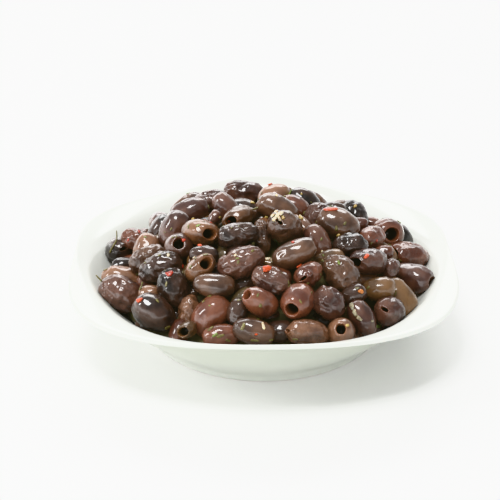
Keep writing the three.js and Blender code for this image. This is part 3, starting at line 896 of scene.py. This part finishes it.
# Scraps of chilli, garlic and herb: across and up as the olives are, length, width, thickness, turn
# and colour
scrapsInView = {
    "chilli_flakes": [
        (-60, -11.5, 4.6, 3.6, 1.3, 35, "red"), (-79, -28.5, 4.2, 2.6, 1.1, 15, "orange"),
        (-51.5, -7, 3.0, 1.8, 0.9, -30, "red"), (-51, 10.2, 2.6, 2.0, 0.8, 20, "red"),
        (43.5, 30.5, 9.5, 3.2, 1.4, -8, "orange"), (2.5, -7.8, 6.2, 3.8, 1.5, 28, "orange"),
        (11.5, -34, 2.2, 2.8, 0.9, 80, "red"), (-22, 22.5, 3.2, 1.4, 0.8, 10, "red"),
        (63, -22, 2.6, 3.4, 1.0, 75, "amber"), (-86.5, 10, 2.2, 1.5, 0.7, 40, "red"),
        (-4, -50, 1.8, 1.2, 0.6, 10, "orange"), (73, 10.5, 2.0, 1.4, 0.6, -50, "red"),
    ],
    "garlic_bits": [
        (11.4, 27.6, 3.9, 2.4, 1.5, 60, "cream"), (9.2, 26.6, 3.7, 2.3, 1.5, 75, "cream"),
        (7.4, 24.0, 4.1, 2.3, 1.5, 40, "cream"), (10.6, 24.4, 3.2, 2.2, 1.4, 95, "cream"),
        (6.2, 26.2, 3.0, 2.0, 1.3, 20, "cream"), (12.8, 25.0, 2.7, 1.9, 1.2, 110, "straw"),
        (8.4, 28.8, 2.8, 2.0, 1.3, 0, "cream"), (24, 25.2, 4.2, 2.4, 1.2, 100, "straw"),
        (-7, 34.5, 3.2, 2.2, 1.2, 20, "straw"), (-28, 25, 2.0, 1.4, 0.9, 0, "straw"),
        (0.3, -44.5, 5.2, 1.6, 1.0, 86, "cream"), (3.2, -1.6, 3.2, 2.0, 1.1, 15, "cream"),
        (5.6, -2.8, 2.6, 1.8, 1.0, -20, "cream"), (57.4, -31.6, 4.8, 2.6, 1.1, -62, "grey"),
        (59.2, -35.8, 4.6, 2.4, 1.0, -70, "grey"), (62.2, -39.4, 4.2, 2.1, 0.9, -35, "grey"),
        (12, -35.6, 3.6, 1.8, 0.9, -55, "straw"), (14.6, -39.2, 3.8, 1.8, 0.9, -45, "straw"),
        (54.5, -44, 3.0, 1.9, 0.9, 30, "straw"), (-98, 16.5, 1.6, 1.1, 0.6, 40, "straw"),
        (70.5, -41, 2.0, 1.2, 0.7, 5, "grey"),
    ],
    "herb_flakes": [
        (-46.5, -7, 3.0, 1.6, 0.5, 50, "herb"), (-62, -18, 3.4, 1.5, 0.5, 80, "herb"),
        (-61, -46, 3.8, 2.4, 0.6, 10, "herb"), (52.5, 21.5, 2.6, 1.6, 0.5, 60, "herb"),
        (47, 18.5, 3.2, 1.8, 0.5, 95, "herb"), (34, 22, 2.4, 1.4, 0.5, 20, "herb"),
        (37.5, 11.5, 2.4, 1.4, 0.5, 70, "herb"), (38.5, -2.5, 2.4, 1.2, 0.5, -20, "herb"),
        (-27, -51, 4.6, 1.8, 0.5, 12, "herb"), (-22, -54, 3.6, 1.5, 0.5, -25, "herb"),
        (-1.5, -31.5, 2.8, 1.8, 0.5, 85, "herb"), (69.5, 9, 2.2, 1.3, 0.5, 40, "herb"),
        (-37, 1, 3.4, 1.8, 0.5, 20, "herb"), (85, -23, 2.6, 1.5, 0.5, 75, "herb"),
        (-30.5, -50.5, 3.4, 1.5, 0.5, 40, "leaf"), (-33.5, -46.5, 4.4, 2.2, 0.5, 65, "herb"),
        (-12.5, -45, 4.8, 2.0, 0.5, 70, "herb"), (-5, -54, 5.2, 1.8, 0.5, 4, "herb"),
        (5.5, -53.6, 3.4, 1.5, 0.5, -12, "herb"), (17, 41, 5.4, 3.4, 0.5, 70, "leaf"),
        (-41, -53.4, 3.0, 1.6, 0.5, 20, "herb"), (-80.5, -12, 2.4, 1.3, 0.5, 30, "herb"),
        (-66.5, 0.5, 2.6, 1.4, 0.5, 10, "herb"), (29, -17, 2.2, 1.2, 0.5, 60, "herb"),
        (44, 11, 2.4, 1.4, 0.5, -30, "herb"), (-15, -28, 2.4, 1.3, 0.5, 15, "herb"),
        (88, -2, 2.4, 1.3, 0.5, -15, "herb"), (75, -44, 5.4, 2.2, 0.5, 28, "leaf"),
        (9.5, 8.5, 9.5, 5.6, 0.5, 60, "dark"), (5.5, 3.5, 3.4, 2.0, 0.5, -40, "dark"),
        (-101, -9, 3.4, 1.6, 0.5, 10, "herb"), (21, -53, 3.4, 1.6, 0.5, 10, "herb"),
        (-58, 12, 2.0, 1.2, 0.5, 25, "herb"),
    ],
}
# loose ones, strewn over the heap
scatter = {
    "chilli_flakes": {
        "count": 16, "length": (1.6, 4.4), "slim": 0.65, "thick": 0.3, "colours": ("red", "red", "orange"),
    },
    "garlic_bits": {
        "count": 16, "length": (1.6, 3.4), "slim": 0.62, "thick": 0.5, "colours": ("cream", "straw"),
    },
    "herb_flakes": {
        "count": 90, "length": (1.3, 3.2), "slim": 0.5, "thick": 0.2, "colours": ("herb", "herb", "leaf"),
    },
}
scatterReach = 96
dropHeight = 140
scrapSeed = 8
scrapColours = {
    "red": "b0300f", "orange": "cc4d16", "amber": "b8702c",
    "cream": "f0e7c6", "straw": "c2ab62", "grey": "a39f86",
    "herb": "6a6430", "leaf": "758a3c", "dark": "33401a",
}


def touchOf(pieces):
    corners, faces = [], []
    for piece in pieces:
        start = len(corners)
        corners += [vert.co.copy() for vert in piece.data.vertices]
        faces += [[start + i for i in face.vertices] for face in piece.data.polygons]
    return BVHTree.FromPolygons(corners, faces)


def growScrap(shape, spot, out, along, row, draw, layers):
    length, width, thick, tintName = row
    start = len(shape.verts)
    bmesh.ops.create_icosphere(shape, subdivisions=2, radius=0.5)
    shape.verts.ensure_lookup_table()
    along = (along - out * along.dot(out)).normalized()
    turned = Matrix((along, out.cross(along), out)).transposed()
    offset = Vector([draw.uniform(-90, 90) for _ in range(3)])
    curl = draw.uniform(-0.02, 0.05) * length
    tint = Vector(colour(scrapColours[tintName])[:3]) * draw.uniform(0.8, 1.15)
    for vert in shape.verts[start:]:
        squared = Vector([math.copysign(abs(2 * c) ** 0.72, c) / 2 for c in vert.co])
        squared *= 1 + 0.38 * noise.noise(vert.co * 2.6 + offset)
        place = Vector((squared.x * length, squared.y * width * (1 - 0.5 * squared.x), squared.z * thick))
        place.z += curl * (4 * squared.x ** 2 - 0.5) + thick * 0.22
        vert[layers["bit"]] = place + offset
        vert[layers["tint"]] = (*tint, 1)
        vert.co = spot + turned @ place * mm


def scrapMarksGroup():
    group, given, result = newGroup(
        "scrapMarks", {"Tint": "Color", "Bit": "Vector", "Wet": "Float"},
        {"Colour": "Color", "Roughness": "Float", "Height": "Float"},
    )
    tint, bit, wet = given["Tint"], given["Bit"], given["Wet"]
    cloud = noiseOf(group, bit, 0.9, 4.0, 0.6)
    deep = mixColour(group, 1.0, tint, (0.55, 0.45, 0.4, 1), "MULTIPLY")
    group.links.new(mixColour(group, remap(group, cloud, 0.35, 0.65), deep, tint), result["Colour"])
    dry = maths(group, "ADD", wet, 0.2)
    group.links.new(remap(group, cloud, 0.3, 0.7, wet, dry), result["Roughness"])
    group.links.new(noiseOf(group, bit, 1.6, 3.0), result["Height"])
    return group


scrapMarks = scrapMarksGroup()


def scrapMaterial(name, wet, sheer):
    material, tree, shader = newMaterial(name)
    tint, bit = attributeOf(tree, "tint", "Color"), attributeOf(tree, "bit", "Vector")
    marks = addNode(tree, "ShaderNodeGroup", {"node_tree": scrapMarks}, Tint=tint, Bit=bit, Wet=wet).outputs
    addBump(tree, shader, 0.7, 0.3, marks["Height"])
    setSockets(tree, shader, {
        "Base Color": marks["Colour"],
        "Roughness": marks["Roughness"],
        "Coat Weight": 0.35,
        "Coat Roughness": 0.08,
        "Subsurface Weight": sheer,
        "Subsurface Radius": (0.8, 0.6, 0.4),
        "Subsurface Scale": mm,
    })
    return material


def touchAlong(touch, onPlane, away):
    # where a sight line meets the olives, with the skin's direction and the distance
    start = (onPlane - away * sightReach) * mm
    spot, out, _, depth = touch.ray_cast(start, away)
    return start, spot, out, depth


def makeScraps(name, touch, material, draw):
    shape = bmesh.new()
    layers = newLayers(shape, bit="float_vector", tint="float_color")
    for across, up, length, width, thick, turn, tintName in scrapsInView[name]:
        _, spot, out, _ = touchAlong(touch, *sightLine(across, up))
        if spot is None:
            continue
        angle = math.radians(turn)
        along = acrossSeat * math.cos(angle) + upSeat * math.sin(angle)
        growScrap(shape, spot, out, along, (length, width, thick, tintName), draw, layers)
    loose = scatter[name]
    for _ in range(loose["count"]):
        reach, angle = scatterReach * math.sqrt(draw.random()), draw.uniform(0, 2 * math.pi)
        above = Vector((reach * math.cos(angle), reach * math.sin(angle), dropHeight))
        spot, out, _, _ = touch.ray_cast(above * mm, Vector((0, 0, -1)))
        turn, length = draw.uniform(0, 2 * math.pi), draw.uniform(*loose["length"])
        if spot is None or out.z < 0.3:  # none stays on a steep side
            continue
        along = Vector((math.cos(turn), math.sin(turn), 0.1))
        row = (length, length * loose["slim"], length * loose["thick"], draw.choice(loose["colours"]))
        growScrap(shape, spot, out, along, row, draw, layers)
    piece = smoothPiece(name, shape, material)
    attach(piece, "root")
    print(name, len(piece.data.polygons), "faces")


# Herb stalks, points across and up with how far each stands off the olives
stalks = {
    "thick": 0.55,
    "endShare": 0.55,  # thinner at both ends
    "jump": 8,  # largest step in depth between two points
    "sides": 8,
    "bends": 5,  # steps between two points
    "paths": [
        [
            (-94.2, 16.2, 1.2), (-94.0, 13.2, 1.0), (-94.1, 10.5, 0.5), (-95.4, 7.6, 0.4), (-97.2, 4.6, 0.4),
            (-98.6, 1.6, 0.3),
        ],
        [(-107.3, -12.6, 1.5), (-105.6, -14.4, 1.0), (-103.6, -16.6, 0.4)],
        [(-77.4, -16.6, 0.8), (-77.9, -19.2, 0.5), (-79.2, -22.2, 0.3)],
        [(-11.6, 29.9, 1.2), (-9, 29.7, 1.4), (-6.2, 30.4, 1.6), (-3.2, 31.6, 2.2)],
    ],
}


def stalkSpots(path, touch):
    sights = [sightLine(across, up) for across, up, _ in reversed(path)]
    met = [touchAlong(touch, onPlane, away) for onPlane, away in sights]
    fallback = next((depth for *_, depth in met if depth), sightReach * mm)
    spots, depth = [], 0
    for (_, away), (start, _, _, here), (_, _, lift) in zip(sights, met, reversed(path)):
        # a sight line that slips past an olive keeps the depth before it
        if here and (not depth or abs(here - depth) < stalks["jump"] * mm):
            depth = here
        spots.append(start + away * ((depth or fallback) - lift * mm))
    return spots


def curveThrough(spots):
    line = []
    for i in range(len(spots) - 1):
        before, a, b, after = spots[max(0, i - 1)], spots[i], spots[i + 1], spots[min(len(spots) - 1, i + 2)]
        for j in range(stalks["bends"]):
            t = j / stalks["bends"]
            square = (2 * before - 5 * a + 4 * b - after) * t ** 2
            cube = (3 * a - before - 3 * b + after) * t ** 3
            line.append(0.5 * (2 * a + (b - before) * t + square + cube))
    return line + [spots[-1]]


def growStalk(shape, line, layers):
    sides, last = stalks["sides"], len(line) - 1
    rings = []
    for i, spot in enumerate(line):
        ahead = (line[min(i + 1, last)] - line[max(i - 1, 0)]).normalized()
        side = ahead.cross(towardSeat).normalized()
        end = stalks["endShare"] if i in (0, last) else 1
        thick = stalks["thick"] * (1.15 - 0.5 * i / last) * end * mm
        ring = []
        for k in range(sides):
            turn = 2 * math.pi * k / sides
            way = side * math.cos(turn) + ahead.cross(side) * math.sin(turn)
            vert = shape.verts.new(spot + way * thick)
            vert[layers["bit"]] = vert.co / mm
            vert[layers["tint"]] = colour(scrapColours["herb"])
            ring.append(vert)
        rings.append(ring)
    for one, two in zip(rings, rings[1:]):
        for k in range(sides):
            shape.faces.new((one[k], one[(k + 1) % sides], two[(k + 1) % sides], two[k]))
    shape.faces.new(rings[0])
    shape.faces.new(rings[-1])


def makeStalks(touch):
    shape = bmesh.new()
    layers = newLayers(shape, bit="float_vector", tint="float_color")
    for path in stalks["paths"]:
        growStalk(shape, curveThrough(stalkSpots(path, touch)), layers)
    bmesh.ops.recalc_face_normals(shape, faces=shape.faces)
    piece = smoothPiece("herb_stalks", shape, scrapMaterial("herbStalk", 0.35, 0.0))
    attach(piece, "root")
    print("herb stalks made")


# Room, lights and camera
studio = {
    "floor": 4.0,
    "floorTones": ((0.935, 0.935, 0.93, 1), (0.95, 0.95, 0.945, 1)),
    "walls": (3.0, 0.9),  # left and right
    "guestSide": 1.2,
    "ceiling": 0.5,
    "overhead": {"place": (-0.22, -0.3, 1.2), "aim": (0, 0, 0.05), "size": (0.48, 0.3), "power": 13},
    "window": {"place": (-1.2, -0.25, 0.8), "aim": (0, 0, 0.05), "size": (0.22, 0.44), "power": 8},
    "backdrop": {"place": (0.0, 2.1, 1.6), "aim": (0, 1.0, 0), "size": (2.4, 1.0), "power": 60},
}


def makeFloor():
    material, tree, shader = newMaterial("paleFloor")
    spot = addNode(tree, "ShaderNodeTexCoord").outputs["Object"]
    white = mixColour(tree, noiseOf(tree, spot, 3, 2.0), *studio["floorTones"])
    setSockets(tree, shader, {"Base Color": white, "Roughness": 0.6})
    shape = bmesh.new()
    bmesh.ops.create_grid(shape, x_segments=2, y_segments=2, size=studio["floor"])
    floor = smoothPiece("floor", shape, material)


def makeLights():
    world = bpy.data.worlds.new("paleRoom")
    world.use_nodes = True
    tree = world.node_tree
    # pale walls near the floor, brighter on the left, and a dim ceiling above them
    looking = addNode(tree, "ShaderNodeTexCoord").outputs["Generated"]
    way = addNode(tree, "ShaderNodeSeparateXYZ", n0=looking).outputs
    wall = remap(tree, way["X"], -0.8, 0.8, *studio["walls"])
    share = remap(tree, way["Z"], 0.2, 0.42, 1.0, 0.0)
    walls = maths(tree, "ADD", maths(tree, "MULTIPLY", wall, share), studio["ceiling"])
    walls = maths(tree, "MULTIPLY", walls, remap(tree, way["Y"], -0.95, -0.05, studio["guestSide"], 1.0))
    setSockets(tree, tree.nodes["Background"], {"Color": (1, 1, 1, 1), "Strength": walls})
    bpy.context.scene.world = world
    for name in ("overhead", "window", "backdrop"):
        settings = studio[name]
        light = bpy.data.lights.new(name, "AREA")
        light.shape = "RECTANGLE"
        light.size, light.size_y = settings["size"]
        light.energy = settings["power"]
        lamp = bpy.data.objects.new(name, light)
        lamp.location = settings["place"]
        aim = Vector(settings["aim"]) - lamp.location
        lamp.rotation_euler = aim.to_track_quat("-Z", "Y").to_euler()
        bpy.context.collection.objects.link(lamp)
    print("room lit")


def makeCamera():
    camera = bpy.data.cameras.new("guest")
    camera.lens = seat["lens"]
    camera.sensor_width = 36
    camera.shift_x, camera.shift_y = seat["shift"]
    camera.clip_start, camera.clip_end = 0.01, 20
    viewer = bpy.data.objects.new("guest", camera)
    looking = Matrix((acrossSeat, upSeat, towardSeat)).transposed()
    looking = looking @ Matrix.Rotation(math.radians(seat["roll"]), 3, "Z")
    viewer.matrix_world = Matrix.Translation(guestEye * mm) @ looking.to_4x4()
    bpy.context.collection.objects.link(viewer)
    bpy.context.scene.camera = viewer
    print("camera set")


makeCamera()
makeFloor()
makeLights()
makeDish()
makeCore()
touch = touchOf(makeOlives())
scrapDraw = random.Random(scrapSeed)
makeScraps("chilli_flakes", touch, scrapMaterial("chilliSkin", 0.3, 0.1), scrapDraw)
makeScraps("garlic_bits", touch, scrapMaterial("choppedGarlic", 0.3, 0.5), scrapDraw)
makeScraps("herb_flakes", touch, scrapMaterial("driedHerb", 0.4, 0.0), scrapDraw)
makeStalks(touch)

viewing = bpy.context.scene.view_settings
viewing.view_transform = "Khronos PBR Neutral"
viewing.use_curve_mapping = True
viewing.curve_mapping.black_level = (-0.024, -0.024, -0.021)  # a little lens haze
